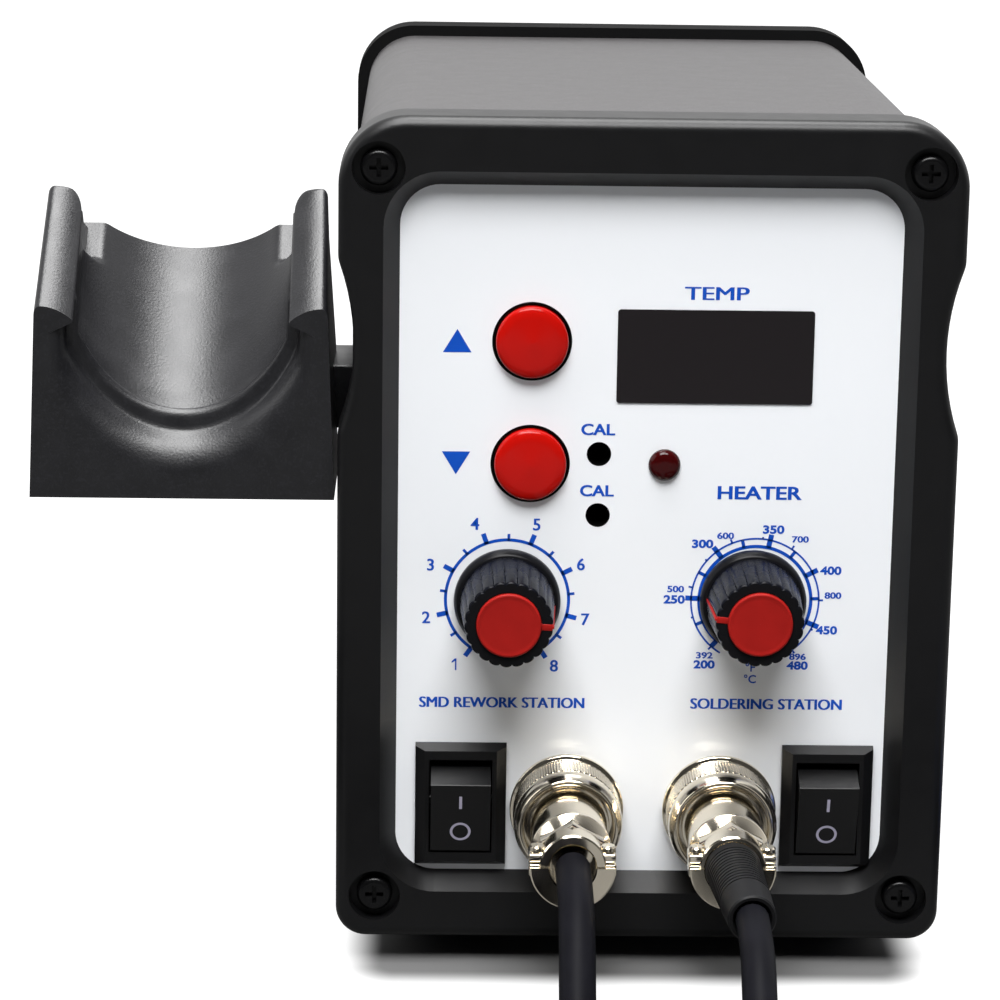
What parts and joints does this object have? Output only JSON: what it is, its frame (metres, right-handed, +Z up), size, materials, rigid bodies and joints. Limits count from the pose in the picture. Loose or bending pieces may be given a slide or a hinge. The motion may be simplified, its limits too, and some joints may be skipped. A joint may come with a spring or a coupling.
{
  "type": "hot air rework station",
  "caption": "Bench rework station in a bevelled black and grey case, with airflow and heat knobs, rocker switches, coiled tool cords, a hot air handpiece, an iron and a sloped side holder.",
  "frame": {"origin": "middle of the housing's footprint on the bench, under the feet, midway between the front and rear bezels", "axes": "+X to the right as seen from the front, +Y to the back (the panel faces -Y), +Z up"},
  "size_m": [0.2674, 0.2976, 0.141],
  "materials": {
    "black_abs": "fine satin moulded black",
    "grey_paint": "mid grey satin powder coat",
    "white_print": "white gloss film with blue print",
    "black_steel": "black oxide",
    "black_rubber": "matt rubber",
    "zinc_steel": "zinc plated",
    "red_gloss": "glossy red",
    "brass": "bright",
    "smoked_window": "dark smoked acrylic",
    "red_lens": "dark red lens",
    "green_board": "solder mask",
    "knob_plastic": "dark blue-black",
    "red_matte": "satin red",
    "nickel": "warm nickel plating",
    "aluminium": "extruded",
    "core_steel": "laminated steel",
    "winding": "taped winding",
    "dark_grey_satin": "dark grey satin, finely speckled",
    "steel_tube": "polished stainless steel",
    "mica": "mica and ceramic",
    "blue_handle": "satin blue",
    "foam": "foam grip",
    "tip_plating": "iron-plated copper",
    "cord_rubber": "satin black jacket"
  },
  "bodies": {
    "station": {"front_bezel": "black_abs", "rear_bezel": "black_abs", "body_sleeve": "grey_paint", "front_panel": "white_print", "rear_panel": "grey_paint", "bezel_screws": "black_steel", "rubber_feet": "black_rubber", "chassis_screws": "zinc_steel", "board_controls": "black_abs", "display_window": "smoked_window", "display_module": "black_abs", "heater_lamp": "red_lens", "control_board": "green_board", "board_standoffs": "brass", "potentiometers": "zinc_steel", "panel_nuts": "nickel", "switch_housings": "black_abs", "panel_sockets": "nickel", "plug_shells": "nickel", "plug_clamps": "nickel", "clamp_screws": "nickel", "cord_boots": "black_rubber", "main_board": "green_board", "heat_sink": "aluminium", "transformer_core": "core_steel", "transformer_winding": "winding", "mains_inlet": "black_abs", "handpiece_holder": "dark_grey_satin", "gun_shell_left": "black_abs", "gun_shell_right": "black_abs", "gun_intake_cap": "black_abs", "gun_motor": "zinc_steel", "gun_barrel": "steel_tube", "gun_heater": "mica", "gun_nozzle": "steel_tube", "iron_handle": "blue_handle", "iron_grip": "foam", "iron_barrel": "steel_tube", "iron_nut": "steel_tube", "iron_tip": "tip_plating", "hot_air_cord": "cord_rubber", "hot_air_cord_coil": "cord_rubber", "iron_cord": "cord_rubber", "iron_cord_coil": "cord_rubber"},
    "up_button": {"up_button": "red_gloss"},
    "down_button": {"down_button": "red_gloss"},
    "airflow_control": {"airflow_knob": "knob_plastic", "airflow_knob_cap": "red_matte", "airflow_shaft": "zinc_steel"},
    "iron_control": {"iron_knob": "knob_plastic", "iron_knob_cap": "red_matte", "iron_shaft": "zinc_steel"},
    "left_rocker": {"left_rocker": "black_abs"},
    "right_rocker": {"right_rocker": "black_abs"},
    "hot_air_plug_ring": {"hot_air_plug_ring": "nickel"},
    "iron_plug_ring": {"iron_plug_ring": "nickel"},
    "hot_air_trimmer": {"hot_air_trimmer_rotor": "brass"},
    "iron_trimmer": {"iron_trimmer_rotor": "brass"},
    "fuse_drawer": {"fuse_drawer": "black_abs"},
    "gun_impeller": {"gun_impeller": "black_abs"}
  },
  "joints": [
    {"name": "up_button_press", "type": "slide", "parent": "station", "child": "up_button", "axis": [0, 1, 0], "range_m": [0, 0.0008], "stiffness_N_per_m": 1500},
    {"name": "down_button_press", "type": "slide", "parent": "station", "child": "down_button", "axis": [0, 1, 0], "range_m": [0, 0.0008], "stiffness_N_per_m": 1500},
    {"name": "airflow_turn", "type": "hinge", "parent": "station", "child": "airflow_control", "pos_m": [-0.0223, -0.075, 0.0617], "axis": [0, -1, 0], "range_deg": [-58, 242]},
    {"name": "iron_temperature_turn", "type": "hinge", "parent": "station", "child": "iron_control", "pos_m": [0.0182, -0.075, 0.0619], "axis": [0, -1, 0], "range_deg": [-236, 64]},
    {"name": "left_rocker_tilt", "type": "hinge", "parent": "station", "child": "left_rocker", "pos_m": [-0.0295, -0.0689, 0.0268], "axis": [-1, 0, 0], "range_deg": [0, 29]},
    {"name": "right_rocker_tilt", "type": "hinge", "parent": "station", "child": "right_rocker", "pos_m": [0.031, -0.0689, 0.0268], "axis": [-1, 0, 0], "range_deg": [0, 29]},
    {"name": "hot_air_ring_spin", "type": "hinge", "parent": "station", "child": "hot_air_plug_ring", "pos_m": [-0.012, -0.078, 0.0264], "axis": [0, -1, 0], "continuous": true},
    {"name": "iron_ring_spin", "type": "hinge", "parent": "station", "child": "iron_plug_ring", "pos_m": [0.0132, -0.078, 0.0264], "axis": [0, -1, 0], "continuous": true},
    {"name": "hot_air_trimmer_turn", "type": "hinge", "parent": "station", "child": "hot_air_trimmer", "pos_m": [-0.0078, -0.0632, 0.0862], "axis": [0, -1, 0], "range_deg": [-135, 135]},
    {"name": "iron_trimmer_turn", "type": "hinge", "parent": "station", "child": "iron_trimmer", "pos_m": [-0.0078, -0.0632, 0.07605], "axis": [0, -1, 0], "range_deg": [-135, 135]},
    {"name": "fuse_drawer_pull", "type": "slide", "parent": "station", "child": "fuse_drawer", "axis": [0, 1, 0], "range_m": [0, 0.013]},
    {"name": "gun_impeller_spin", "type": "hinge", "parent": "station", "child": "gun_impeller", "pos_m": [-0.14, -0.124, 0.02], "axis": [0, 1, 0], "continuous": true}
  ]
}
